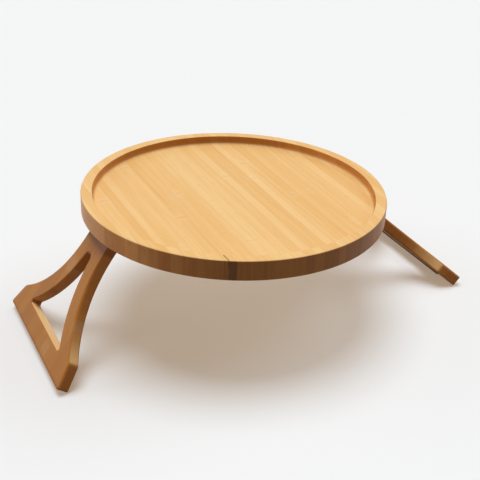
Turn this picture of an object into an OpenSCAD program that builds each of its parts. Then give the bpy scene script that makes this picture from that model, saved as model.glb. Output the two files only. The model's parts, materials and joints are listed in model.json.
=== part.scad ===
// Sofa arm tray: a round bamboo tray on two splayed, folding bamboo legs.
// The tray lies over a sofa arm with one leg down each side, or stands on a flat surface.
// Origin: centre of the footprint, on the surface it stands on. X runs from the left leg
// to the right leg, Y along both hinge axes, Z up.

/* [Tray] */
// Outer diameter of the tray
tray_diameter = 300; // [240:1:340]
// Thickness of the board
board_thickness = 19.5; // [18:0.5:26]
// Depth of the dish below the rim
dish_depth = 9; // [6:0.5:10]
// Width of the flat rim
rim_width = 11; // [8:0.5:20]
// Radius of the cove where the dish wall meets its floor
cove_radius = 5; // [1:0.5:5]
// Rounding of the rim's outer edges
rim_rounding = 1; // [0.4:0.1:3]

/* [Leg] */
// Thickness of a leg
leg_thickness = 11.5; // [11:0.5:14]
// Distance from the hinge axis to the foot edge
leg_length = 129; // [124:1:129]
// Width of the leg at its waist, below the hinge
waist_width = 47; // [44:1:54]
// Width of the foot at the edge it stands on
foot_width = 169; // [160:1:180]
// Width of the leg at its shoulders, above the foot
shoulder_width = 153; // [146:1:158]
// Height of the shoulders above the foot edge
shoulder_height = 24; // [20:1:27]
// Radius of the hollow curve of each side
side_radius = 107; // [104:1:112]
// Distance from the hinge axis to the middle of the side curve
side_curve_start = 12; // [10:0.5:14]
// Width of the two bars beside the window
bar_width = 18.5; // [16:0.5:20]
// Height of the bar below the window
foot_bar_height = 20; // [18:0.5:23]
// Distance from the hinge axis to the top of the window
window_top = 24; // [22:0.5:28]
// Rounding of the shoulders
shoulder_rounding = 8; // [3:0.5:10]
// Rounding of the foot corners
foot_rounding = 3; // [1:0.5:5]
// Rounding of the window's lower corners
window_rounding = 2.5; // [1:0.5:4]

/* [Stance] */
// Angle of the left leg below the board
left_splay = 55.4; // [50:0.1:70]
// Angle of the right leg below the board
right_splay = 40.5; // [38:0.1:55]
// Distance from the middle of the board to each hinge axis
hinge_reach = 131; // [131:0.5:134]
// Drop of the hinge axis below the board's underside
hinge_drop = 7.5; // [7.4:0.1:9]

/* [Hinge] */
// Length of the bracket plate, along the hinge axis
plate_length = 78; // [76:1:84]
// Width of the bracket plate, across the hinge axis
plate_width = 28; // [26:1:29]
// Thickness of the bracket's steel
plate_thickness = 2; // [1.5:0.25:2.5]
// Corner rounding of the bracket plate
plate_corner = 4; // [2:0.5:5]
// Distance from the hinge axis in to the middle of the plate
plate_inset = 5; // [4:0.5:7]
// Width of a bracket ear, and the diameter of its round end
ear_width = 10; // [8.5:0.5:11]
// Distance between the outer faces of the two ears
ears_across = 22; // [18:0.5:23]
// Thickness of a friction washer
friction_washer_thickness = 1.2; // [0.8:0.1:1.6]
// Outer diameter of a friction washer
friction_washer_diameter = 10.5; // [9:0.5:11]
// Diameter of the hinge bolt
bolt_diameter = 4; // [3:0.5:4.5]
// Diameter of the hinge bolt's head
bolt_head_diameter = 7.6; // [7:0.1:7.8]
// Height of the hinge bolt's head
bolt_head_height = 2.2; // [1.5:0.1:2.6]
// Width of the lock nut across its flats
nut_across_flats = 6.8; // [6.4:0.1:6.9]
// Height of the lock nut
nut_height = 4; // [3:0.1:4.5]
// Width of the bolt's hexagon socket across its flats
socket_across_flats = 2.5; // [1.5:0.5:3]
// Depth of the bolt's hexagon socket
socket_depth = 1.3; // [0.8:0.1:1.4]
// Outer diameter of the plain washers under head and nut
seat_washer_diameter = 8; // [7.9:0.1:8.2]
// Thickness of the plain washers
seat_washer_thickness = 0.5; // [0.4:0.1:0.8]
// Diameter of the bracket screws
screw_diameter = 3.5; // [3:0.1:4]
// Diameter of the screws' countersunk heads
screw_head_diameter = 6.6; // [6:0.1:7]
// Length of the bracket screws
screw_length = 8.5; // [7:0.5:9]
// Width of a slot of the screws' cross recess
cross_slot_width = 0.8; // [0.5:0.1:1]
// Depth of the screws' cross recess
cross_slot_depth = 1; // [0.6:0.1:1.4]
// Spacing of the screws along the hinge axis
screw_spacing_long = 64; // [62:1:66]
// Spacing of the screws across the hinge axis
screw_spacing_short = 16; // [14:1:17]

/* [Grips] */
// Length of the grip pad on each leg's inner face
grip_length = 120; // [90:1:126]
// Width of the grip pad
grip_width = 11; // [8:0.5:13]
// Thickness of the grip pad
grip_thickness = 2; // [1.4:0.1:2.1]
// Depth of the pocket that holds the grip pad
grip_pocket = 0.8; // [0.5:0.1:1]
// Length of the grip strips under the board
strip_length = 110; // [80:1:120]
// Width of the grip strips
strip_width = 10; // [8:0.5:12]
// Thickness of the grip strips
strip_thickness = 1.5; // [1:0.1:2.5]
// Corner rounding of the grip pads and strips
grip_corner = 2.5; // [1:0.5:3.5]
// Distance of each strip from the board's middle
strip_offset = 108; // [104:1:110]

/* [Clearances] */
// Radial clearance of the bolt in the bracket ears
bolt_running_gap = 0.05; // [0.02:0.01:0.1]
// Gap at each face of a friction washer
washer_gap = 0.05; // [0.02:0.01:0.1]
// Gap round fasteners and pads in their wooden seats
seat_gap = 0.2; // [0.1:0.05:0.3]
// Gap round a screw's shank in its pilot hole
pilot_gap = 0.05; // [0.02:0.01:0.1]
// Gap between the bracket plate's edge and its recess
recess_gap = 0.3; // [0.1:0.05:0.5]
// Depth that the plate lies below the board's underside
plate_flush = 0.1; // [0:0.05:0.3]
// Depth that the bolt's head and nut lie below the leg's edges
head_sink = 0.5; // [0.2:0.1:1]
// Gap between the ears and the end of the leg's notch
notch_gap = 1.5; // [0.8:0.1:2.5]

/* [Hidden] */
$fn = 96;
board_steps = 256;
side_steps = 360;
// Length that a cut runs past the face it opens
through = 1;
tray_radius = tray_diameter / 2;
dish_radius = tray_radius - rim_width;
washer_side = friction_washer_thickness + 2 * washer_gap;
notch_width = ears_across + 2 * washer_side;
seat_diameter = seat_washer_diameter + 2 * seat_gap;
head_seat_depth = bolt_head_height + seat_washer_thickness + head_sink;
nut_seat_depth = nut_height + seat_washer_thickness + head_sink;
ear_end = ear_width / 2;
notch_depth = ear_end + notch_gap;

// Height of each foot edge below the board's underside, and its reach from the board's middle
function foot_drop(splay) = hinge_drop + leg_length * sin(splay) + leg_thickness / 2 * cos(splay);
function foot_reach(splay) = hinge_reach + leg_length * cos(splay) - leg_thickness / 2 * sin(splay);
function leg_reach(splay) = hinge_reach + leg_length * cos(splay) + leg_thickness / 2 * sin(splay);
function leg_tip_drop(splay) = hinge_drop + leg_length * sin(splay) - leg_thickness / 2 * cos(splay);

// The feet stand on one level surface, so the board tilts towards the leg that is splayed wider
stance_width = foot_reach(left_splay) + foot_reach(right_splay);
stance_tilt = atan((foot_drop(left_splay) - foot_drop(right_splay)) / stance_width);
board_height = foot_drop(right_splay) * cos(stance_tilt) + foot_reach(right_splay) * sin(stance_tilt);
left_end = -leg_reach(left_splay) * cos(stance_tilt) - leg_tip_drop(left_splay) * sin(stance_tilt);
right_end = leg_reach(right_splay) * cos(stance_tilt) - leg_tip_drop(right_splay) * sin(stance_tilt);
middle_x = (left_end + right_end) / 2;

// Leg outline, drawn with x along the leg from the hinge axis and y across it
side_centre = [side_curve_start, waist_width / 2 + side_radius];
window_radius = side_radius + bar_width;
window_end = leg_length - foot_bar_height;
shoulder_point = [leg_length - shoulder_height, shoulder_width / 2];
foot_point = [leg_length, foot_width / 2];

function unit(v) = v / norm(v);
function turned(v) = [-v[1], v[0]];

// Centre of the circle of radius r that touches the line through p along direction d,
// on its inner side n, and touches from outside the circle of radius big about c
function touching_centre(p, d, n, r, c, big) =
    let (q = p + r * n - c, b = q * d, k = q * q - pow(big + r, 2))
    p + r * n + (-b - sqrt(b * b - k)) * d;

side_direction = unit(foot_point - shoulder_point);
side_inward = -turned(side_direction);
shoulder_centre = touching_centre(
    shoulder_point, -side_direction, side_inward, shoulder_rounding, side_centre, side_radius);
shoulder_on_curve = shoulder_centre + shoulder_rounding * unit(side_centre - shoulder_centre);
shoulder_on_side = shoulder_centre - shoulder_rounding * side_inward;

// Rounded foot corner: the circle touches the slanted side and the foot edge
foot_angle = atan2(side_direction[1], side_direction[0]);
foot_setback = foot_rounding / tan((90 - foot_angle) / 2);
foot_on_side = foot_point - foot_setback * side_direction;
foot_on_edge = foot_point - [0, foot_setback];
foot_centre = foot_on_edge - [foot_rounding, 0];

// The window's round top touches both bars
window_top_radius =
    (pow(side_centre[1], 2) + pow(window_top - side_centre[0], 2) - pow(window_radius, 2))
    / (2 * (window_radius - window_top + side_centre[0]));
window_top_centre = [window_top + window_top_radius, 0];
window_top_touch = window_top_centre + window_top_radius * unit(side_centre - window_top_centre);
window_corner =
    touching_centre([window_end, 0], [0, 1], [-1, 0], window_rounding, side_centre, window_radius);
window_corner_touch = window_corner + window_rounding * unit(side_centre - window_corner);

function mirrored(p) = [p[0], -p[1]];

bamboo_top = [0.87, 0.66, 0.42];
bamboo_leg = [0.65, 0.43, 0.24];
steel = [0.72, 0.73, 0.75];
fastener_steel = [0.62, 0.60, 0.55];
nylon = [0.85, 0.83, 0.78];
silicone = [0.16, 0.15, 0.15];

// Places the board's own frame, whose origin is the middle of its underside, on the feet
module on_feet() {
    translate([-middle_x, 0, board_height])
        rotate([0, stance_tilt, 0])
            children();
}

// Places a thing drawn for the right hinge at the given side; x points away from the board's middle
module at_hinge(side) {
    on_feet()
        mirror([side < 0 ? 1 : 0, 0, 0])
            translate([hinge_reach, 0, -hinge_drop])
                children();
}

// Turns a thing drawn in the leg's own frame to the leg's splay
module on_leg(side) {
    at_hinge(side)
        rotate([0, side < 0 ? left_splay : right_splay, 0])
            children();
}

// A cylinder along Y from y_start, of the given length
module rod(radius, y_start, length) {
    translate([0, y_start, 0])
        rotate([-90, 0, 0])
            cylinder(r = radius, h = length);
}

// A flat rectangle with rounded corners, centred
module rounded_rectangle(length_x, length_y, corner) {
    square([length_x - 2 * corner, length_y], center = true);
    square([length_x, length_y - 2 * corner], center = true);
    for (sx = [-1, 1], sy = [-1, 1])
        translate([sx * (length_x / 2 - corner), sy * (length_y / 2 - corner)])
            circle(r = corner);
}

module board_section() {
    square([tray_radius - rim_rounding, board_thickness]);
    translate([0, rim_rounding])
        square([tray_radius, board_thickness - 2 * rim_rounding]);
    for (z = [rim_rounding, board_thickness - rim_rounding])
        translate([tray_radius - rim_rounding, z])
            circle(r = rim_rounding);
}

module dish_section() {
    translate([0, board_thickness - dish_depth + cove_radius])
        square([dish_radius, dish_depth]);
    translate([0, board_thickness - dish_depth])
        square([dish_radius - cove_radius, dish_depth]);
    translate([dish_radius - cove_radius, board_thickness - dish_depth + cove_radius])
        circle(r = cove_radius);
}

// One child at each screw, drawn in the right hinge's frame at the board's underside
module at_screws() {
    for (sx = [-1, 1], sy = [-1, 1])
        translate([-plate_inset + sx * screw_spacing_short / 2, sy * screw_spacing_long / 2, hinge_drop])
            children();
}

// The recess and pilot holes that a hinge bracket needs in the board
module bracket_seat() {
    translate([-plate_inset, 0, hinge_drop - through])
        linear_extrude(height = through + plate_flush + plate_thickness)
            rounded_rectangle(plate_width + 2 * recess_gap, plate_length + 2 * recess_gap,
                plate_corner + recess_gap);
    at_screws()
        cylinder(d = screw_diameter + 2 * pilot_gap, h = plate_flush + screw_length + seat_gap);
}

module tray_board() {
    color(bamboo_top)
        difference() {
            on_feet()
                rotate_extrude($fn = board_steps)
                    difference() {
                        board_section();
                        dish_section();
                    }
            for (side = [-1, 1])
                at_hinge(side)
                    bracket_seat();
        }
}

module underside_grip_strips() {
    color(silicone)
        on_feet()
            for (side = [-1, 1])
                translate([0, side * strip_offset, -strip_thickness])
                    linear_extrude(height = strip_thickness)
                        rounded_rectangle(strip_length, strip_width, grip_corner);
}

module leg_outline() {
    difference() {
        union() {
            polygon([
                [0, -waist_width / 2], [side_curve_start, -waist_width / 2],
                mirrored(shoulder_on_curve), mirrored(shoulder_centre), mirrored(shoulder_on_side),
                mirrored(foot_on_side), mirrored(foot_centre), mirrored(foot_on_edge),
                foot_on_edge, foot_centre, foot_on_side,
                shoulder_on_side, shoulder_centre, shoulder_on_curve,
                [side_curve_start, waist_width / 2], [0, waist_width / 2]
            ]);
            for (p = [shoulder_centre, mirrored(shoulder_centre)])
                translate(p)
                    circle(r = shoulder_rounding);
            for (p = [foot_centre, mirrored(foot_centre)])
                translate(p)
                    circle(r = foot_rounding);
        }
        for (p = [side_centre, mirrored(side_centre)])
            translate(p)
                circle(r = side_radius, $fn = side_steps);
    }
}

module window_outline() {
    difference() {
        polygon([
            window_top_touch, window_corner_touch, window_corner,
            [window_end, window_corner[1]], [window_end, -window_corner[1]],
            mirrored(window_corner), mirrored(window_corner_touch), mirrored(window_top_touch)
        ]);
        for (p = [side_centre, mirrored(side_centre)])
            translate(p)
                circle(r = window_radius, $fn = side_steps);
    }
    translate(window_top_centre)
        circle(r = window_top_radius);
    for (p = [window_corner, mirrored(window_corner)])
        translate(p)
            circle(r = window_rounding);
}

// Middle of the grip pad, on the bar below the window
grip_middle = leg_length - foot_bar_height / 2;

module leg() {
    difference() {
        union() {
            translate([0, 0, -leg_thickness / 2])
                linear_extrude(height = leg_thickness)
                    difference() {
                        leg_outline();
                        window_outline();
                    }
            rod(leg_thickness / 2, -waist_width / 2, waist_width);
        }
        // Notch for the bracket's ears
        translate([-leg_thickness, -notch_width / 2, -leg_thickness])
            cube([leg_thickness + notch_depth, notch_width, 2 * leg_thickness]);
        // Bolt hole, with seats for its head and its nut
        rod(bolt_diameter / 2 + pilot_gap, -waist_width / 2 - through, waist_width + 2 * through);
        rod(seat_diameter / 2, -waist_width / 2 - through, through + head_seat_depth);
        rod(seat_diameter / 2, waist_width / 2 - nut_seat_depth, through + nut_seat_depth);
        // Pocket for the grip pad
        translate([grip_middle, 0, -leg_thickness / 2 - through])
            linear_extrude(height = through + grip_pocket)
                rounded_rectangle(grip_width + 2 * seat_gap, grip_length + 2 * seat_gap,
                    grip_corner + seat_gap);
    }
}

module leg_grip() {
    translate([grip_middle, 0, -leg_thickness / 2 + grip_pocket - grip_thickness])
        linear_extrude(height = grip_thickness)
            rounded_rectangle(grip_width, grip_length, grip_corner);
}

// U-shaped bracket: a plate let into the board, and two ears bent down to the hinge axis
module hinge_bracket() {
    difference() {
        union() {
            translate([-plate_inset, 0, hinge_drop + plate_flush])
                linear_extrude(height = plate_thickness)
                    rounded_rectangle(plate_width, plate_length, plate_corner);
            for (y = [-ears_across / 2, ears_across / 2 - plate_thickness]) {
                rod(ear_end, y, plate_thickness);
                translate([-ear_end, y, 0])
                    cube([ear_width, plate_thickness, hinge_drop + plate_flush + plate_thickness / 2]);
            }
        }
        rod(bolt_diameter / 2 + bolt_running_gap, -ears_across, 2 * ears_across);
        at_screws()
            screw_shape(seat_gap / 2);
    }
}

// A countersunk screw pointing up from the underside, grown all round by the given gap
module screw_shape(gap) {
    head_height = (screw_head_diameter - screw_diameter) / 2;
    translate([0, 0, plate_flush - gap])
        cylinder(d1 = screw_head_diameter + 2 * gap, d2 = screw_diameter + 2 * gap, h = head_height);
    translate([0, 0, plate_flush + head_height - 2 * gap])
        cylinder(d = screw_diameter + 2 * gap, h = screw_length - head_height + 2 * gap);
}

module bracket_screws() {
    at_screws()
        difference() {
            screw_shape(0);
            // Cross recess
            for (turn = [0, 90])
                rotate([0, 0, turn])
                    translate([-screw_diameter / 2, -cross_slot_width / 2, -through])
                        cube([screw_diameter, cross_slot_width, through + plate_flush + cross_slot_depth]);
        }
}

// Where the bolt's head and the nut meet their washers, along the hinge axis
head_bottom = -waist_width / 2 + head_seat_depth - seat_washer_thickness;
nut_bottom = waist_width / 2 - nut_seat_depth + seat_washer_thickness;

// Diameter across the corners of a hexagon
function hexagon_diameter(across_flats) = across_flats / cos(30);

module hinge_bolt() {
    difference() {
        union() {
            rod(bolt_head_diameter / 2, head_bottom - bolt_head_height, bolt_head_height);
            rod(bolt_diameter / 2, head_bottom - bolt_head_height / 2,
                nut_bottom + nut_height + bolt_head_height / 2 - head_bottom);
        }
        // Hexagon socket
        translate([0, head_bottom - bolt_head_height - through, 0])
            rotate([-90, 0, 0])
                cylinder(d = hexagon_diameter(socket_across_flats), h = through + socket_depth, $fn = 6);
    }
}

module lock_nut() {
    difference() {
        translate([0, nut_bottom, 0])
            rotate([-90, 0, 0])
                cylinder(d = hexagon_diameter(nut_across_flats), h = nut_height, $fn = 6);
        rod(bolt_diameter / 2 + pilot_gap, nut_bottom - through, nut_height + 2 * through);
    }
}

module ring(outer, thickness, y_start) {
    difference() {
        rod(outer / 2, y_start, thickness);
        rod(bolt_diameter / 2 + pilot_gap, y_start - through, thickness + 2 * through);
    }
}

module seat_washers() {
    ring(seat_washer_diameter, seat_washer_thickness, head_bottom);
    ring(seat_washer_diameter, seat_washer_thickness, nut_bottom - seat_washer_thickness);
}

module friction_washers() {
    inner = ears_across / 2 + washer_gap;
    for (y = [inner, -inner - friction_washer_thickness])
        ring(friction_washer_diameter, friction_washer_thickness, y);
}

module left_leg() { color(bamboo_leg) on_leg(-1) leg(); }
module left_hinge_bracket() { color(steel) at_hinge(-1) hinge_bracket(); }
module left_bracket_screws() { color(fastener_steel) at_hinge(-1) bracket_screws(); }
module left_hinge_bolt() { color(fastener_steel) on_leg(-1) hinge_bolt(); }
module left_lock_nut() { color(fastener_steel) on_leg(-1) lock_nut(); }
module left_seat_washers() { color(fastener_steel) on_leg(-1) seat_washers(); }
module left_friction_washers() { color(nylon) on_leg(-1) friction_washers(); }
module left_leg_grip() { color(silicone) on_leg(-1) leg_grip(); }
module right_leg() { color(bamboo_leg) on_leg(1) leg(); }
module right_hinge_bracket() { color(steel) at_hinge(1) hinge_bracket(); }
module right_bracket_screws() { color(fastener_steel) at_hinge(1) bracket_screws(); }
module right_hinge_bolt() { color(fastener_steel) on_leg(1) hinge_bolt(); }
module right_lock_nut() { color(fastener_steel) on_leg(1) lock_nut(); }
module right_seat_washers() { color(fastener_steel) on_leg(1) seat_washers(); }
module right_friction_washers() { color(nylon) on_leg(1) friction_washers(); }
module right_leg_grip() { color(silicone) on_leg(1) leg_grip(); }

tray_board();
underside_grip_strips();
left_leg();
left_hinge_bracket();
left_bracket_screws();
left_hinge_bolt();
left_lock_nut();
left_seat_washers();
left_friction_washers();
left_leg_grip();
right_leg();
right_hinge_bracket();
right_bracket_screws();
right_hinge_bolt();
right_lock_nut();
right_seat_washers();
right_friction_washers();
right_leg_grip();
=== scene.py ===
"""Round bamboo sofa arm tray on folding legs: its modelled pieces, its finishes and its studio."""
import json
import math

import bmesh
import bpy
from mathutils import Matrix, Vector


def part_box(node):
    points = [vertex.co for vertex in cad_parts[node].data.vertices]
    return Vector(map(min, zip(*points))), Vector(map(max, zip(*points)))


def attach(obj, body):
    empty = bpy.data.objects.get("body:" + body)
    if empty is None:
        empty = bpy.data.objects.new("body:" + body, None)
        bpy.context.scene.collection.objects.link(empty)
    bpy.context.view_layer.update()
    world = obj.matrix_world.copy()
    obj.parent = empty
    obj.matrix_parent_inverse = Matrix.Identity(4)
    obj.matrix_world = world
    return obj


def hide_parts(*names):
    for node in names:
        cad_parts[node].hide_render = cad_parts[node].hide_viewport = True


bl_info = {
    "name": "Sofa Arm Tray",
    "version": (1, 0, 0),
    "blender": (4, 5, 0),
    "location": "3D View > Sidebar > Sofa Tray",
    "description": "Builds a round bamboo sofa arm tray on folding legs, with its finishes and studio",
    "category": "Add Mesh",
}

MM = 0.001
SIDES = ("left", "right")
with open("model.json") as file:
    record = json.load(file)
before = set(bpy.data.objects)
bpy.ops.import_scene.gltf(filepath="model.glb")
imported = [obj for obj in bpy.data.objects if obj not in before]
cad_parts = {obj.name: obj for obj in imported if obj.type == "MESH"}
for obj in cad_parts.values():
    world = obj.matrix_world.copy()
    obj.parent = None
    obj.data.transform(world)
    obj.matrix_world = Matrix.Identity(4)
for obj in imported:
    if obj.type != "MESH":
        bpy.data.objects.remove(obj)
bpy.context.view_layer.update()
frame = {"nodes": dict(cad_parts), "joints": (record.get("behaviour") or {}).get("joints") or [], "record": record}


# Places read from the frame

def mount(name):
    """Place and outward direction of one of the record's mounts."""
    found = next(m for m in frame["record"]["mounts"] if m["name"] == name)
    return Vector(found["pos_m"]), Vector(found["axis"]).normalized()


def hinge(side):
    """The record's hinge joint of one leg."""
    return next(j for j in frame["joints"] if j["child"] == f"{side}_leg")


def body_of_node(node):
    """Name of the moving body that a node belongs to."""
    bodies = frame["record"]["behaviour"]["bodies"]
    return next(body for body, members in bodies.items() if node in members)


def axes_matrix(origin, x_axis, z_axis):
    """Placement whose X and Z axes are given and whose Y axis completes them."""
    y_axis = z_axis.cross(x_axis)
    turn = Matrix((x_axis, y_axis, z_axis)).transposed().to_4x4()
    return Matrix.Translation(origin) @ turn


def board_place(thickness, dish_depth):
    """Placement of the board: origin in the middle of its underside, Z through its thickness."""
    dish_middle, up = mount("dish_floor")
    along = Vector((0, 1, 0)).cross(up)
    return axes_matrix(dish_middle - up * (thickness - dish_depth), along, up)


def leg_place(side):
    """Placement of a leg: origin on the hinge axis, Y down along the leg, Z out of its outer face."""
    joint = hinge(side)
    inward = mount(f"{side}_leg_pad")[1]
    outward = -inward
    across = Vector((0, 1, 0)) if side == "left" else Vector((0, -1, 0))
    return axes_matrix(Vector(joint["pos_m"]), across, outward)


# Settings

def colour(name, description, default):
    return bpy.props.FloatVectorProperty(
        name=name, description=description, default=default,
        subtype="COLOR_GAMMA", size=3, min=0.0, max=1.0)


def length(name, description, default, low=0.0):
    return bpy.props.FloatProperty(
        name=name, description=description, default=default, min=low, unit="LENGTH", precision=5)


def angle(name, description, default):
    return bpy.props.FloatProperty(
        name=name, description=description, default=math.radians(default), unit="ROTATION", subtype="ANGLE")


def amount(name, description, default):
    return bpy.props.FloatProperty(name=name, description=description, default=default, min=0.0)


class BoardSettings(bpy.types.PropertyGroup):
    """Sizes and colours of the tray board"""
    thickness: length("Thickness", "Thickness of the board", 19.5 * MM)
    rim_width: length("Rim width", "Width of the flat rim", 11 * MM)
    dish_depth: length("Dish depth", "Depth of the dish below the rim", 9 * MM)
    cove_radius: length("Cove radius", "Rounding where the dish wall meets its floor", 5 * MM)
    outer_rounding: length("Outer rounding", "Rounding of the rim's outer edges", 1.2 * MM)
    inner_rounding: length("Inner rounding", "Rounding of the rim's inner edge", 0.9 * MM)
    joint_place: length("Rim joint", "Distance of the open rim joint left of the middle", 67.9 * MM)
    joint_width: length("Rim joint width", "Width of the groove at the rim joint", 1.4 * MM)
    stave_width: length("Stave width", "Mean width of a bamboo stave in the board", 9 * MM)
    light: colour("Light", "Lightest tone of the board's faces", (0.96, 0.785, 0.525))
    dark: colour("Dark", "Darkest tone of the board's faces", (0.925, 0.715, 0.43))
    side_light: colour("Side light", "Lightest tone of the rim's sides", (0.87, 0.61, 0.36))
    side_dark: colour("Side dark", "Darkest tone of the rim's sides", (0.77, 0.50, 0.26))
    end_grain: colour("End grain", "Tint of the rim where it is cut across the grain", (0.72, 0.69, 0.58))


class LegSettings(bpy.types.PropertyGroup):
    """Sizes and colours of the legs"""
    edge_rounding: length("Edge rounding", "Rounding of a leg's outline", 2.6 * MM)
    window_rounding: length("Window rounding", "Rounding of the window's edges", 1.5 * MM)
    floor_rounding: length("Floor rounding", "Rounding of the edges that stand on the floor", 0.9 * MM)
    lobe_rounding: length("Lobe rounding", "Rounding of the lobes at the hinge", 1.2 * MM)
    stave_width: length("Stave width", "Mean width of a bamboo stave in a leg", 13 * MM)
    light: colour("Light", "Lightest tone of a leg's faces", (0.735, 0.47, 0.17))
    dark: colour("Dark", "Darkest tone of a leg's faces", (0.685, 0.42, 0.13))
    side_light: colour("Side light", "Lightest tone of a leg's edges", (0.74, 0.475, 0.21))
    side_dark: colour("Side dark", "Darkest tone of a leg's edges", (0.66, 0.40, 0.16))
    end_grain: colour("End grain", "Tint of the edges cut across the grain", (1.0, 1.0, 1.0))


class HardwareSettings(bpy.types.PropertyGroup):
    """Sizes and colours of the hinges and the grip pads"""
    edge_rounding: length("Edge rounding", "Rounding of the brackets' edges", 0.4 * MM)
    pad_rounding: length("Pad rounding", "Rounding of the grip pads' edges", 0.5 * MM)
    recess_gap: length("Recess gap", "Gap between a bracket and its recess", 0.3 * MM)
    plate_corner: length("Plate corner", "Corner rounding of a bracket's plate", 4 * MM)
    plate_inset: length("Plate inset", "Distance from the hinge axis in to the plate's middle", 5 * MM)
    plate_width: length("Plate width", "Width of a bracket's plate", 28 * MM)
    plate_depth: length("Plate depth", "Depth of a bracket's recess in the board", 2.1 * MM)
    screw_spacing: bpy.props.FloatVectorProperty(
        name="Screw spacing", description="Spacing of a bracket's screws across and along the hinge axis",
        default=(16 * MM, 64 * MM), size=2, unit="LENGTH")
    pilot_radius: length("Pilot radius", "Radius of the screws' pilot holes", 1.8 * MM)
    pilot_depth: length("Pilot depth", "Depth of the screws' pilot holes", 8.8 * MM)
    steel: colour("Steel", "Colour of the zinc-plated brackets", (0.74, 0.75, 0.77))
    fastener: colour("Fastener", "Colour of the yellow-plated bolts and screws", (0.76, 0.70, 0.56))
    nylon: colour("Nylon", "Colour of the friction washers", (0.86, 0.84, 0.79))
    silicone: colour("Silicone", "Colour of the grip pads and strips", (0.20, 0.19, 0.19))


class StudioSettings(bpy.types.PropertyGroup):
    """Camera, lights and floor"""
    camera_place: bpy.props.FloatVectorProperty(
        name="Camera place", description="Where the camera stands",
        default=(-0.36395, -0.76736, 0.53219), size=3, subtype="TRANSLATION", unit="LENGTH")
    camera_heading: angle("Camera heading", "Heading of the view, clockwise from +Y", 25.37)
    camera_fall: angle("Camera fall", "Angle of the view below the horizon", 28.75)
    camera_roll: angle("Camera roll", "Roll of the camera", 0.225)
    lens: bpy.props.FloatProperty(
        name="Lens", description="Focal length on a 36 mm sensor", default=71.25, unit="CAMERA")
    top_size: angle("Top light size", "Angle that the overhead softbox fills", 38)
    top_lean: angle("Top light lean", "Angle of the overhead softbox off the vertical", 13)
    top_heading: angle("Top light heading", "Heading of the overhead softbox, clockwise from +Y", 5)
    top_level: amount("Top light level", "Light that the overhead softbox gives a level surface", 0.645)
    right_size: angle("Right light size", "Angle that the right softbox fills", 40)
    right_lean: angle("Right light lean", "Angle of the right softbox off the vertical", 52)
    right_heading: angle("Right light heading", "Heading of the right softbox, clockwise from +Y", 86)
    right_level: amount("Right light level", "Light that the right softbox gives a level surface", 0.155)
    left_size: angle("Left light size", "Angle that the left softbox fills", 40)
    left_lean: angle("Left light lean", "Angle of the left softbox off the vertical", 68)
    left_heading: angle("Left light heading", "Heading of the left softbox, clockwise from +Y", -52)
    left_level: amount("Left light level", "Light that the left softbox gives a level surface", 0.06)
    softbox: colour("Softbox colour", "Colour of the softboxes", (0.971, 0.987, 1.0))
    ambient_level: amount("Ambient level", "Light that the room gives a level surface", 0.18)
    ambient: colour("Ambient", "Colour of the room's light", (1.0, 0.95, 0.90))
    backdrop: colour("Backdrop", "Colour of the floor and the backdrop", (0.965, 0.965, 0.965))
    shade: colour("Shade", "Colour that the floor keeps in full shadow", (0.595, 0.525, 0.45))
    bounce: colour("Bounce", "Colour of the light that the floor returns to the object", (0.68, 0.64, 0.59))
    floor_size: length("Floor size", "Radius of the floor", 30.0)


# Selecting and shaping

def only(*objects):
    """Selects these objects alone and makes the last one active."""
    bpy.ops.object.select_all(action="DESELECT")
    for obj in objects:
        obj.select_set(True)
    bpy.context.view_layer.objects.active = objects[-1]


def added(name):
    """Names the primitive that was just added and moves its place into its mesh."""
    obj = bpy.context.object
    obj.name = name
    obj.data.name = name
    only(obj)
    bpy.ops.object.transform_apply(location=True, rotation=True, scale=True)
    return obj


def pick(obj, kind, test):
    """Enters edit mode with only the faces or edges that pass the test selected."""
    only(obj)
    bpy.ops.object.mode_set(mode="EDIT")
    bpy.ops.mesh.select_mode(type=kind)
    bpy.ops.mesh.select_all(action="DESELECT")
    mesh = bmesh.from_edit_mesh(obj.data)
    for item in (mesh.faces if kind == "FACE" else mesh.edges):
        if test(item):
            item.select_set(True)
    bmesh.update_edit_mesh(obj.data)


def leave_edit():
    bpy.ops.object.mode_set(mode="OBJECT")


def place(obj, matrix):
    """Moves an object that stands at the origin to its place, in its mesh."""
    only(obj)
    obj.matrix_world = matrix
    bpy.ops.object.transform_apply(location=True, rotation=True, scale=True)


def apply_modifier(obj, kind, **settings):
    """Adds a modifier with these settings and applies it."""
    only(obj)
    modifier = obj.modifiers.new(kind.lower(), kind)
    for key, value in settings.items():
        setattr(modifier, key, value)
    bpy.ops.object.modifier_apply(modifier=modifier.name)


def smooth(obj, limit=35):
    """Smooth shading that keeps flat faces flat and edges sharper than the limit crisp."""
    only(obj)
    bpy.ops.object.shade_smooth_by_angle(angle=math.radians(limit))
    apply_modifier(obj, "WEIGHTED_NORMAL", keep_sharp=True, weight=100)


def merged_copy(node, name):
    """A copy of a node's mesh with its loose triangles merged into whole faces."""
    copy = frame["nodes"][node].copy()
    copy.data = copy.data.copy()
    copy.name = name
    copy.data.name = name
    copy.parent = None
    for key in list(copy.keys()):
        del copy[key]
    bpy.context.scene.collection.objects.link(copy)
    only(copy)
    bpy.ops.object.mode_set(mode="EDIT")
    bpy.ops.mesh.select_mode(type="VERT")
    bpy.ops.mesh.select_all(action="SELECT")
    bpy.ops.mesh.customdata_custom_splitnormals_clear()
    bpy.ops.mesh.remove_doubles(threshold=0.003 * MM)
    bpy.ops.mesh.dissolve_limited(angle_limit=math.radians(0.3))
    bpy.ops.mesh.select_all(action="DESELECT")
    leave_edit()
    copy.data.materials.clear()
    return copy


def stands_for(piece, node, material):
    """Dresses a piece, lets it ride with the node's body and hides the node that it replaces."""
    piece.data.materials.clear()
    piece.data.materials.append(material)
    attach(piece, body_of_node(node))
    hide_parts(node)


# Building materials

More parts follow.
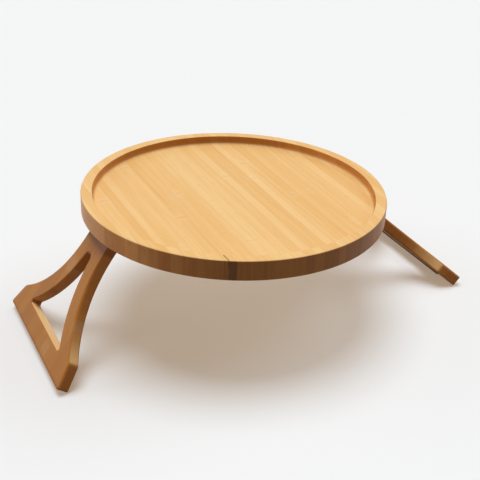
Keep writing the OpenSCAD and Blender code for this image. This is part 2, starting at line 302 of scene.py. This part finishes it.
def linear(srgb):
    """Scene-linear colour of a colour as it is seen on screen."""
    return tuple(c / 12.92 if c <= 0.04045 else ((c + 0.055) / 1.055) ** 2.4 for c in srgb) + (1.0,)


class Tree:
    """Adds nodes to one node tree; an input is a value or the socket that feeds it."""

    def __init__(self, tree):
        self.tree = tree

    def node(self, kind, settings=None, **inputs):
        made = self.tree.nodes.new(kind)
        for key, value in (settings or {}).items():
            setattr(made, key, value)
        for key, value in inputs.items():
            by_index = key[0] == "i" and key[1:].isdigit()
            socket = made.inputs[int(key[1:])] if by_index else made.inputs[key.replace("_", " ")]
            self.feed(socket, value)
        return made

    def feed(self, socket, value):
        if isinstance(value, bpy.types.NodeSocket):
            self.tree.links.new(value, socket)
        else:
            socket.default_value = value

    def math(self, operation, a, b=0.0, clamp=False):
        settings = {"operation": operation, "use_clamp": clamp}
        return self.node("ShaderNodeMath", settings, i0=a, i1=b).outputs[0]

    def step(self, value, low, high, start=0.0, end=1.0):
        """Smooth step from start at low to end at high."""
        settings = {"interpolation_type": "SMOOTHSTEP"}
        return self.node("ShaderNodeMapRange", settings, Value=value, From_Min=low, From_Max=high,
                         To_Min=start, To_Max=end).outputs[0]

    def mix(self, factor, a, b, blend="MIX"):
        settings = {"data_type": "RGBA", "blend_type": blend}
        return self.node("ShaderNodeMix", settings, i0=factor, i6=a, i7=b).outputs[2]

    def combine(self, x, y, z):
        return self.node("ShaderNodeCombineXYZ", None, X=x, Y=y, Z=z).outputs[0]

    def noise(self, vector, scale=1.0, detail=2.0, roughness=0.5, distortion=0.0):
        return self.node("ShaderNodeTexNoise", None, Vector=vector, Scale=scale, Detail=detail,
                         Roughness=roughness, Distortion=distortion).outputs[0]


def new_group(name, inputs, outputs):
    """A shader node group with typed sockets, and its builder and ends."""
    group = bpy.data.node_groups.new(name, "ShaderNodeTree")
    for label, kind in inputs:
        group.interface.new_socket(name=label, in_out="INPUT", socket_type=kind)
    for label, kind in outputs:
        group.interface.new_socket(name=label, in_out="OUTPUT", socket_type=kind)
    tree = Tree(group)
    return group, tree, tree.node("NodeGroupInput"), tree.node("NodeGroupOutput")


def laminated_bamboo():
    """Node group: staves side by side, with fibres, knuckles and glue lines along Y."""
    name = "laminated_bamboo"
    if name in bpy.data.node_groups:
        return bpy.data.node_groups[name]
    group, t, given, result = new_group(
        name,
        [("Vector", "NodeSocketVector"), ("Stave Width", "NodeSocketFloat"), ("Side", "NodeSocketFloat"),
         ("Light", "NodeSocketColor"), ("Dark", "NodeSocketColor"),
         ("Side Light", "NodeSocketColor"), ("Side Dark", "NodeSocketColor")],
        [("Color", "NodeSocketColor"), ("Roughness", "NodeSocketFloat"), ("Height", "NodeSocketFloat")])
    place_xyz = t.node("ShaderNodeSeparateXYZ", None, Vector=given.outputs["Vector"])
    x, y, z = place_xyz.outputs
    across = t.math("DIVIDE", x, given.outputs["Stave Width"])
    stave = t.node("ShaderNodeTexVoronoi", {"voronoi_dimensions": "1D"}, W=across, Scale=1.0, Randomness=0.8)
    chance = t.node("ShaderNodeSeparateColor", None, Color=stave.outputs["Color"]).outputs
    to_edge = t.node("ShaderNodeTexVoronoi", {"voronoi_dimensions": "1D", "feature": "DISTANCE_TO_EDGE"},
                     W=across, Scale=1.0, Randomness=0.8).outputs["Distance"]
    glue = t.step(t.math("MULTIPLY", to_edge, given.outputs["Stave Width"]), 0.05 * MM, 0.35 * MM, 1.0, 0.0)

    def stretched(across_scale, along_scale, through_scale, shift):
        """Coordinates stretched along the fibres and shifted for each stave."""
        slide = t.math("MULTIPLY", chance[shift], 40.0)
        along = t.math("MULTIPLY_ADD", y, along_scale)
        along.node.inputs[2].default_value = 0.0
        t.feed(along.node.inputs[2], slide)
        return t.combine(t.math("MULTIPLY", x, across_scale), along, t.math("MULTIPLY", z, through_scale))

    fibre = t.noise(stretched(1500, 14, 700, 2), detail=3.0, roughness=0.6)
    streak = t.noise(stretched(420, 5.5, 24, 1), detail=3.0, roughness=0.55, distortion=0.4)
    flame = t.noise(stretched(95, 4.0, 12, 0), detail=2.0, distortion=1.1)
    fleck = t.noise(stretched(1900, 130, 900, 1), detail=1.0)
    pore = t.noise(given.outputs["Vector"], scale=2100.0, detail=1.0)

    # Knuckles: one faint, wavering band across each stave, at its own place
    spacing = 0.34
    turn = t.math("FRACT", t.math("ADD", t.math("DIVIDE", y, spacing), t.math("MULTIPLY", chance[1], 7.0)))
    off = t.math("MULTIPLY", t.math("ABSOLUTE", t.math("SUBTRACT", turn, 0.5)), spacing)
    off = t.math("ADD", off, t.math("MULTIPLY", t.math("SUBTRACT", flame, 0.5), 7 * MM))
    knuckle = t.step(off, 0.2 * MM, 2.2 * MM, 1.0, 0.0)
    halo = t.step(off, 1.5 * MM, 12 * MM, 1.0, 0.0)

    # Most staves keep near one tone and a few stand out
    own = t.math("SUBTRACT", chance[0], 0.5)
    own = t.math("ADD", t.math("MULTIPLY", t.math("POWER", t.math("ABSOLUTE", own), 2.0), t.math("SIGN", own)),
                 t.math("MULTIPLY", own, 0.25))
    tone = t.math("ADD", t.math("MULTIPLY", own, 0.75), t.math("MULTIPLY", streak, 0.75))
    tone = t.math("ADD", tone, t.math("MULTIPLY", flame, 0.55))
    tone = t.step(tone, 0.30, 1.02)
    face = t.mix(tone, given.outputs["Light"], given.outputs["Dark"])
    side = t.mix(tone, given.outputs["Side Light"], given.outputs["Side Dark"])
    side = t.mix(t.step(pore, 0.55, 0.75, 0.0, 0.25), side, (0.16, 0.07, 0.02, 1.0))
    body = t.mix(given.outputs["Side"], face, side)
    body = t.mix(t.step(fibre, 0.50, 0.78, 0.0, 0.14), body, (0.25, 0.11, 0.03, 1.0))
    body = t.mix(t.step(fibre, 0.42, 0.22, 0.0, 0.10), body, (1.0, 0.86, 0.60, 1.0))
    body = t.mix(t.step(fleck, 0.68, 0.80, 0.0, 0.30), body, (0.30, 0.13, 0.03, 1.0))
    body = t.mix(t.math("MULTIPLY", halo, 0.07), body, (1.0, 0.86, 0.60, 1.0))
    body = t.mix(t.math("MULTIPLY", knuckle, 0.11), body, (0.42, 0.19, 0.06, 1.0))
    body = t.mix(t.math("MULTIPLY", glue, 0.14), body, (0.25, 0.11, 0.03, 1.0))
    rough = t.math("ADD", t.step(fibre, 0.3, 0.8, 0.38, 0.50), t.math("MULTIPLY", knuckle, 0.06))
    height = t.math("SUBTRACT", t.math("MULTIPLY", fibre, 0.6), t.math("MULTIPLY", glue, 0.5))
    height = t.math("ADD", height, t.math("MULTIPLY", knuckle, 0.2))
    t.feed(result.inputs["Color"], body)
    t.feed(result.inputs["Roughness"], rough)
    t.feed(result.inputs["Height"], height)
    return group


def new_material(name):
    """A node material with its builder and its shader."""
    material = bpy.data.materials.new(name)
    material.use_nodes = True
    tree = Tree(material.node_tree)
    shader = next(n for n in material.node_tree.nodes if n.type == "BSDF_PRINCIPLED")
    return material, tree, shader


def own_place(tree, matrix):
    """Coordinates in a piece's own frame, from its Object coordinates."""
    here = tree.node("ShaderNodeTexCoord")
    return tree.node("ShaderNodeMapping", {"vector_type": "TEXTURE"}, Vector=here.outputs["Object"],
                     Location=tuple(matrix.translation), Rotation=tuple(matrix.to_euler())).outputs[0]


def facing(tree, axis, low, high):
    """Rises from 0 to 1 as a surface turns from low to high, square to the axis being 0."""
    here = tree.node("ShaderNodeTexCoord")
    turned = tree.node("ShaderNodeVectorMath", {"operation": "DOT_PRODUCT"},
                       i0=here.outputs["Normal"], i1=tuple(axis)).outputs["Value"]
    return tree.step(tree.math("ABSOLUTE", turned), low, high)


def bamboo(name, matrix, settings, own_marks_and_shade):
    """Lacquered bamboo on a piece whose own frame is given, with the marks and any painted shade of that piece."""
    material, t, shader = new_material(name)
    place_xyz = own_place(t, matrix)
    turn = matrix.to_3x3()
    side = t.math("SUBTRACT", 1.0, facing(t, turn @ Vector((0, 0, 1)), 0.45, 0.85))
    end = t.math("MULTIPLY", facing(t, turn @ Vector((0, 1, 0)), 0.35, 0.95), side)
    wood = t.node("ShaderNodeGroup", {"node_tree": laminated_bamboo()}, Vector=place_xyz, Side=side,
                  Stave_Width=settings.stave_width, Light=linear(settings.light), Dark=linear(settings.dark),
                  Side_Light=linear(settings.side_light), Side_Dark=linear(settings.side_dark))
    body = t.mix(end, wood.outputs["Color"], linear(settings.end_grain), "MULTIPLY")
    body = own_marks_and_shade(t, place_xyz, side, end, body)
    t.feed(shader.inputs["Base Color"], body)
    t.feed(shader.inputs["Roughness"], wood.outputs["Roughness"])
    shader.inputs["Specular IOR Level"].default_value = 0.2
    bump = t.node("ShaderNodeBump", None, Height=wood.outputs["Height"], Strength=0.5, Distance=0.12 * MM)
    t.feed(shader.inputs["Normal"], bump.outputs[0])
    return material


def metal(name, tint, roughness):
    """Plated steel with fine drawing marks and cloudy roughness."""
    material, t, shader = new_material(name)
    here = t.node("ShaderNodeTexCoord").outputs["Object"]
    cloud = t.noise(here, scale=220.0, detail=3.0)
    drawn = t.node("ShaderNodeMapping", None, Vector=here, Scale=(3000, 160, 3000)).outputs[0]
    marks = t.noise(drawn, detail=2.0)
    shade = t.mix(t.step(cloud, 0.3, 0.7, 0.0, 0.35), linear(tint), linear([c * 0.82 for c in tint]))
    t.feed(shader.inputs["Base Color"], shade)
    shader.inputs["Metallic"].default_value = 1.0
    worn = t.step(cloud, 0.3, 0.75, roughness - 0.06, roughness + 0.10)
    worn = t.math("ADD", worn, t.step(marks, 0.4, 0.8, 0.0, 0.06))
    t.feed(shader.inputs["Roughness"], worn)
    bump = t.node("ShaderNodeBump", None, Height=marks, Strength=0.25, Distance=0.03 * MM)
    t.feed(shader.inputs["Normal"], bump.outputs[0])
    return material


def polymer(name, tint, roughness, grain_scale):
    """Moulded plastic or rubber with a fine moulded grain and slight mottling."""
    material, t, shader = new_material(name)
    here = t.node("ShaderNodeTexCoord").outputs["Object"]
    grain = t.noise(here, scale=grain_scale, detail=2.0)
    cloud = t.noise(here, scale=140.0, detail=2.0)
    shade = t.mix(t.step(cloud, 0.3, 0.7, 0.0, 0.5), linear(tint), linear([min(1.0, c * 1.18) for c in tint]))
    t.feed(shader.inputs["Base Color"], shade)
    t.feed(shader.inputs["Roughness"], t.step(grain, 0.3, 0.7, roughness - 0.05, roughness + 0.08))
    bump = t.node("ShaderNodeBump", None, Height=grain, Strength=0.4, Distance=0.05 * MM)
    t.feed(shader.inputs["Normal"], bump.outputs[0])
    return material


# Board

def board_blank(size):
    """The round board with its dish, in its own frame."""
    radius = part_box("tray_board")[1].y
    bpy.ops.mesh.primitive_cylinder_add(
        vertices=256, radius=radius, depth=size.thickness, end_fill_type="NGON",
        location=(0, 0, size.thickness / 2))
    board = added("board")
    dish_radius = radius - size.rim_width
    floor_height = size.thickness - size.dish_depth
    pick(board, "FACE", lambda face: face.normal.z > 0.9)
    bpy.ops.mesh.inset(thickness=size.rim_width, depth=0)
    bpy.ops.mesh.extrude_region_move(TRANSFORM_OT_translate={"value": (0, 0, -size.dish_depth)})
    leave_edit()

    def ring(ring_radius, *heights):
        """Test for the edges of a ring round the board."""
        def test(edge):
            ends = [v.co for v in edge.verts]
            return all(abs(co.xy.length - ring_radius) < 0.1 * MM for co in ends) and any(
                all(abs(co.z - height) < 0.1 * MM for co in ends) for height in heights)
        return test

    for ring_radius, heights, rounding, segments in (
            (radius, (0, size.thickness), size.outer_rounding, 5),
            (dish_radius, (size.thickness,), size.inner_rounding, 4),
            (dish_radius, (floor_height,), size.cove_radius, 6)):
        pick(board, "EDGE", ring(ring_radius, *heights))
        bpy.ops.mesh.bevel(offset=rounding, offset_type="OFFSET", segments=segments, profile=0.5,
                           affect="EDGES", clamp_overlap=False)
        leave_edit()
    return board


def bracket_recess(size, hardware, hinge_x):
    """Cutter for one bracket's recess and pilot holes, in the board's own frame."""
    inward = -math.copysign(hardware.plate_inset, hinge_x)
    middle_x = hinge_x + inward
    below = 5 * MM
    plate_length = 2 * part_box("left_hinge_bracket")[1].y
    depth = hardware.plate_depth + below
    bpy.ops.mesh.primitive_cube_add(size=1, location=(middle_x, 0, hardware.plate_depth - depth / 2))
    bpy.context.object.scale = (
        hardware.plate_width + 2 * hardware.recess_gap, plate_length + 2 * hardware.recess_gap, depth)
    recess = added("bracket_recess")
    pick(recess, "EDGE", lambda edge: abs(edge.verts[0].co.z - edge.verts[1].co.z) > depth / 2)
    bpy.ops.mesh.bevel(offset=hardware.plate_corner + hardware.recess_gap, segments=8, affect="EDGES",
                       clamp_overlap=False)
    leave_edit()
    holes = []
    across, along = hardware.screw_spacing
    for sx in (-0.5, 0.5):
        for sy in (-0.5, 0.5):
            bpy.ops.mesh.primitive_cylinder_add(
                vertices=24, radius=hardware.pilot_radius, depth=hardware.pilot_depth,
                location=(middle_x + sx * across, sy * along, hardware.pilot_depth / 2))
            holes.append(added("pilot_hole"))
    for hole in holes:
        apply_modifier(recess, "BOOLEAN", operation="UNION", object=hole, solver="EXACT")
        bpy.data.objects.remove(hole)
    return recess


def cut(obj, cutter):
    apply_modifier(obj, "BOOLEAN", operation="DIFFERENCE", object=cutter, solver="EXACT")
    bpy.data.objects.remove(cutter)


class SOFATRAY_OT_board(bpy.types.Operator):
    """Add the round board with its dish, its rim and the seats of the brackets"""
    bl_idname = "sofatray.board"
    bl_label = "Tray Board"

    def execute(self, context):
        size = context.scene.sofatray_board
        hardware = context.scene.sofatray_hardware
        where = board_place(size.thickness, size.dish_depth)
        board = board_blank(size)
        for side in SIDES:
            hinge_x = (where.inverted() @ Vector(hinge(side)["pos_m"])).x
            cut(board, bracket_recess(size, hardware, hinge_x))
        place(board, where)
        smooth(board)

        def front_joint(t, place_xyz, side_amount, end_amount, body):
            """Open joint across the front rim, and the darker stave beside it."""
            x, y, z = t.node("ShaderNodeSeparateXYZ", None, Vector=place_xyz).outputs
            start = -size.joint_place
            stave = t.math("MULTIPLY", t.step(x, start - 0.2 * MM, start + 0.2 * MM),
                           t.step(x, start + 6.0 * MM, start + 7.2 * MM, 1.0, 0.0))
            front = t.step(y, 0.0, -20 * MM)
            stave = t.math("MULTIPLY", stave, t.math("MULTIPLY", front, side_amount))
            body = t.mix(t.math("MULTIPLY", stave, 0.62), body, (0.07, 0.028, 0.006, 1.0))
            radius = t.node("ShaderNodeVectorMath", {"operation": "LENGTH"},
                            i0=t.combine(x, y, 0.0)).outputs["Value"]
            inside = t.math("MULTIPLY", t.step(radius, 141 * MM, 144 * MM, 0.55, 0.0), side_amount)
            body = t.mix(inside, body, (0.66, 0.27, 0.05, 1.0))
            rim = t.math("MULTIPLY", t.step(radius, 138 * MM, 139.5 * MM), t.step(z, 8 * MM, 15 * MM))
            off = t.math("ABSOLUTE", t.math("SUBTRACT", x, start))
            line = t.step(off, size.joint_width * 0.2, size.joint_width * 0.6, 0.75, 0.0)
            line = t.math("MULTIPLY", t.math("MULTIPLY", line, rim), front)
            return t.mix(line, body, (0.09, 0.035, 0.01, 1.0))

        finish = bamboo("board_bamboo", where, size, front_joint)
        stands_for(board, "tray_board", finish)
        return {"FINISHED"}


# Legs

def leg_weights(leg, where, size):
    """Marks how far each sharp edge of a leg is rounded, as a share of the outline's rounding."""
    to_leg = where.inverted()
    window_middle = Vector((0, 85 * MM, 0))
    turn = to_leg.to_3x3()
    weights = leg.data.attributes.new("bevel_weight_edge", "FLOAT", "EDGE")
    mesh = bmesh.new()
    mesh.from_mesh(leg.data)
    mesh.edges.ensure_lookup_table()
    values = []
    for edge in mesh.edges:
        sharp = len(edge.link_faces) == 2 and edge.calc_face_angle(0) > math.radians(40)
        middle = to_leg @ ((edge.verts[0].co + edge.verts[1].co) / 2)
        weight = 0.0
        if sharp:
            normals = [turn @ face.normal for face in edge.link_faces]
            wall = next((n for n in normals if abs(n.z) < 0.5), None)
            faced = any(abs(n.z) > 0.9 for n in normals)
            outline = wall is not None and faced and wall.dot(middle - window_middle) > 0
            lobe = middle.y < 12 * MM and any(n.x * math.copysign(1, middle.x) > 0.9 for n in normals)
            pad_pocket = middle.z < 0 and abs(middle.x) < 62 * MM and 112 * MM < middle.y < 126 * MM
            bolt_seat = math.hypot(middle.y, middle.z) < 5 * MM
            if pad_pocket or bolt_seat:
                weight = 0.0
            elif lobe:
                weight = size.lobe_rounding / size.edge_rounding
            elif outline:
                off_hinge = min(1.0, max(0.0, (middle.y - 12 * MM) / (40 * MM)))
                near_floor = min(1.0, max(0.0, (middle.y - 125.5 * MM) / (3.5 * MM)))
                low = size.lobe_rounding / size.edge_rounding
                weight = low + (1 - low) * off_hinge
                weight -= near_floor * (1 - size.floor_rounding / size.edge_rounding)
            elif faced and middle.y > 20 * MM:
                weight = size.window_rounding / size.edge_rounding
        values.append(weight)
    mesh.free()
    weights.data.foreach_set("value", values)


def leg_cuts_and_shade(t, place_xyz, side_amount, end_amount, body):
    """Paler sanded cuts across the grain, and painted shade at the leg's two ends: the board's shadow on the neck
    and a contact shadow at the foot.
    """
    along = t.node("ShaderNodeSeparateXYZ", None, Vector=place_xyz).outputs[1]
    above_foot = t.step(along, 120 * MM, 124 * MM, 1.0, 0.0)
    cut_share = t.math("MULTIPLY", t.math("POWER", end_amount, 3.0), above_foot)
    body = t.mix(cut_share, body, (1.0, 0.64, 0.28, 1.0))
    # Painted shade: the neck darkens under the board's rim, and the last few millimetres of the foot darken as in
    # a contact shadow.
    top = t.step(along, 11 * MM, 17 * MM, 0.7, 0.0)
    foot_shade = t.step(along, 125 * MM, 129.5 * MM, 0.0, 0.7)
    return t.mix(t.math("MAXIMUM", top, foot_shade), body, (0.40, 0.30, 0.17, 1.0), "MULTIPLY")


class SOFATRAY_OT_legs(bpy.types.Operator):
    """Add both legs with rounded edges"""
    bl_idname = "sofatray.legs"
    bl_label = "Legs"

    def execute(self, context):
        size = context.scene.sofatray_leg
        for side in SIDES:
            node = f"{side}_leg"
            where = leg_place(side)
            leg = merged_copy(node, f"{side}_leg_plate")
            leg_weights(leg, where, size)
            apply_modifier(leg, "BEVEL", width=size.edge_rounding, segments=5, limit_method="WEIGHT",
                           use_clamp_overlap=False, miter_outer="MITER_ARC", loop_slide=False)
            smooth(leg)
            stands_for(leg, node, bamboo(f"{side}_leg_bamboo", where, size, leg_cuts_and_shade))
        return {"FINISHED"}


# Hinges and grips

class SOFATRAY_OT_hinges(bpy.types.Operator):
    """Dress the brackets, bolts, nuts, screws and washers of both hinges"""
    bl_idname = "sofatray.hinges"
    bl_label = "Hinges"

    def execute(self, context):
        size = context.scene.sofatray_hardware
        steel = metal("bracket_steel", size.steel, 0.34)
        plated = metal("fastener_steel", size.fastener, 0.28)
        nylon = polymer("washer_nylon", size.nylon, 0.42, 2400.0)
        for side in SIDES:
            node = f"{side}_hinge_bracket"
            bracket = merged_copy(node, f"{side}_bracket")
            apply_modifier(bracket, "BEVEL", width=size.edge_rounding, segments=3, limit_method="ANGLE",
                           angle_limit=math.radians(50), use_clamp_overlap=True, loop_slide=False)
            smooth(bracket)
            stands_for(bracket, node, steel)
            for part in ("bracket_screws", "hinge_bolt", "lock_nut", "seat_washers"):
                dress_node(f"{side}_{part}", plated)
            dress_node(f"{side}_friction_washers", nylon)
        return {"FINISHED"}


def dress_node(node, material):
    """Gives a node that keeps its own shape a better finish."""
    mesh = frame["nodes"][node].data
    for index in range(len(mesh.materials)):
        mesh.materials[index] = material


class SOFATRAY_OT_grips(bpy.types.Operator):
    """Add the silicone pads on the legs and the strips under the board"""
    bl_idname = "sofatray.grips"
    bl_label = "Grip Pads"

    def execute(self, context):
        size = context.scene.sofatray_hardware
        silicone = polymer("grip_silicone", size.silicone, 0.58, 2600.0)
        for node, name in (("underside_grip_strips", "grip_strips"), ("left_leg_grip", "left_pad"),
                           ("right_leg_grip", "right_pad")):
            pad = merged_copy(node, name)
            apply_modifier(pad, "BEVEL", width=size.pad_rounding, segments=4, limit_method="ANGLE",
                           angle_limit=math.radians(50), use_clamp_overlap=True, loop_slide=False)
            smooth(pad)
            stands_for(pad, node, silicone)
        return {"FINISHED"}


# Studio

def seen_directly(t):
    """1 for camera, glossy and transmission rays, which see the backdrop itself."""
    path = t.node("ShaderNodeLightPath").outputs
    seen = t.math("MAXIMUM", path["Is Camera Ray"], path["Is Glossy Ray"])
    return t.math("MAXIMUM", seen, path["Is Transmission Ray"])


def studio_world(scene, size):
    """A pale backdrop that gives the object a soft, even room light."""
    world = bpy.data.worlds.new("studio")
    world.use_nodes = True
    scene.world = world
    t = Tree(world.node_tree)
    background = next(n for n in world.node_tree.nodes if n.type == "BACKGROUND")
    room = [c * size.ambient_level for c in linear(size.ambient)[:3]] + [1.0]
    t.feed(background.inputs["Color"], t.mix(seen_directly(t), tuple(room), linear(size.backdrop)))


def studio_floor(size):
    """The pale floor that keeps the object's shadow."""
    bpy.ops.mesh.primitive_circle_add(vertices=96, radius=size.floor_size, fill_type="NGON")
    floor = added("floor")
    material = bpy.data.materials.new("floor")
    material.use_nodes = True
    t = Tree(material.node_tree)
    shader = next(n for n in material.node_tree.nodes if n.type == "BSDF_PRINCIPLED")
    shader.inputs["Roughness"].default_value = 1.0
    shader.inputs["Specular IOR Level"].default_value = 0.0
    full = linear(size.backdrop)
    kept = linear(size.shade)
    lit = tuple(whole - part for whole, part in zip(full[:3], kept)) + (1.0,)
    seen = seen_directly(t)
    t.feed(shader.inputs["Base Color"], t.mix(seen, linear(size.bounce), lit))
    # Camera rays see the floor glow with the shade colour: painted light that lifts its shadow and warms it like
    # light bounced from the wood.
    t.feed(shader.inputs["Emission Color"], kept)
    t.feed(shader.inputs["Emission Strength"], seen)
    below = t.node("ShaderNodeNewGeometry").outputs["Backfacing"]
    t.feed(shader.inputs["Alpha"], t.math("SUBTRACT", 1.0, below))
    floor.data.materials.append(material)


def softbox(name, tint, width, lean, heading, level):
    """A light as wide as a softbox that gives a level surface the stated light."""
    bpy.ops.object.light_add(type="SUN", location=(0, 0, 1.5))
    light = bpy.context.object
    light.name = name
    light.data.angle = width
    light.data.color = linear(tint)[:3]
    toward = Vector((math.sin(heading), math.cos(heading), 0)) * math.sin(lean)
    toward.z = math.cos(lean)
    light.rotation_euler = toward.to_track_quat("Z", "Y").to_euler()
    light.data.energy = math.pi * level / math.cos(lean)


def studio_camera(scene, size):
    """A camera at the photograph's viewing angle."""
    bpy.ops.object.camera_add(location=size.camera_place)
    camera = bpy.context.object
    camera.name = "camera"
    turn = (Matrix.Rotation(-size.camera_heading, 4, "Z")
            @ Matrix.Rotation(math.radians(90) - size.camera_fall, 4, "X")
            @ Matrix.Rotation(-size.camera_roll, 4, "Z"))
    camera.rotation_euler = turn.to_euler()
    camera.data.sensor_width = 36.0
    camera.data.lens = size.lens
    camera.data.clip_start = 0.05
    camera.data.clip_end = 100.0
    scene.camera = camera


class SOFATRAY_OT_studio(bpy.types.Operator):
    """Add the floor, the backdrop, the lights and the camera"""
    bl_idname = "sofatray.studio"
    bl_label = "Studio"

    def execute(self, context):
        size = context.scene.sofatray_studio
        context.scene.view_settings.view_transform = "Standard"
        studio_world(context.scene, size)
        studio_floor(size)
        for name in ("top", "right", "left"):
            values = [getattr(size, f"{name}_{part}") for part in ("size", "lean", "heading", "level")]
            softbox(f"{name}_softbox", size.softbox, *values)
        studio_camera(context.scene, size)
        return {"FINISHED"}


class SOFATRAY_PT_panel(bpy.types.Panel):
    """Lists the steps that build the tray"""
    bl_idname = "SOFATRAY_PT_panel"
    bl_label = "Sofa Arm Tray"
    bl_space_type = "VIEW_3D"
    bl_region_type = "UI"
    bl_category = "Sofa Tray"

    def draw(self, context):
        for operator in OPERATORS:
            self.layout.operator(operator.bl_idname)


SETTINGS = {
    "sofatray_board": BoardSettings,
    "sofatray_leg": LegSettings,
    "sofatray_hardware": HardwareSettings,
    "sofatray_studio": StudioSettings,
}
OPERATORS = (SOFATRAY_OT_board, SOFATRAY_OT_legs, SOFATRAY_OT_hinges, SOFATRAY_OT_grips, SOFATRAY_OT_studio)


def register():
    for kind in (*SETTINGS.values(), *OPERATORS, SOFATRAY_PT_panel):
        bpy.utils.register_class(kind)
    for name, kind in SETTINGS.items():
        setattr(bpy.types.Scene, name, bpy.props.PointerProperty(type=kind))


def unregister():
    for name in SETTINGS:
        delattr(bpy.types.Scene, name)
    for kind in reversed((*SETTINGS.values(), *OPERATORS, SOFATRAY_PT_panel)):
        bpy.utils.unregister_class(kind)


def main():
    register()
    bpy.ops.sofatray.board()
    bpy.ops.sofatray.legs()
    bpy.ops.sofatray.hinges()
    bpy.ops.sofatray.grips()
    bpy.ops.sofatray.studio()


if __name__ == "__main__":
    main()
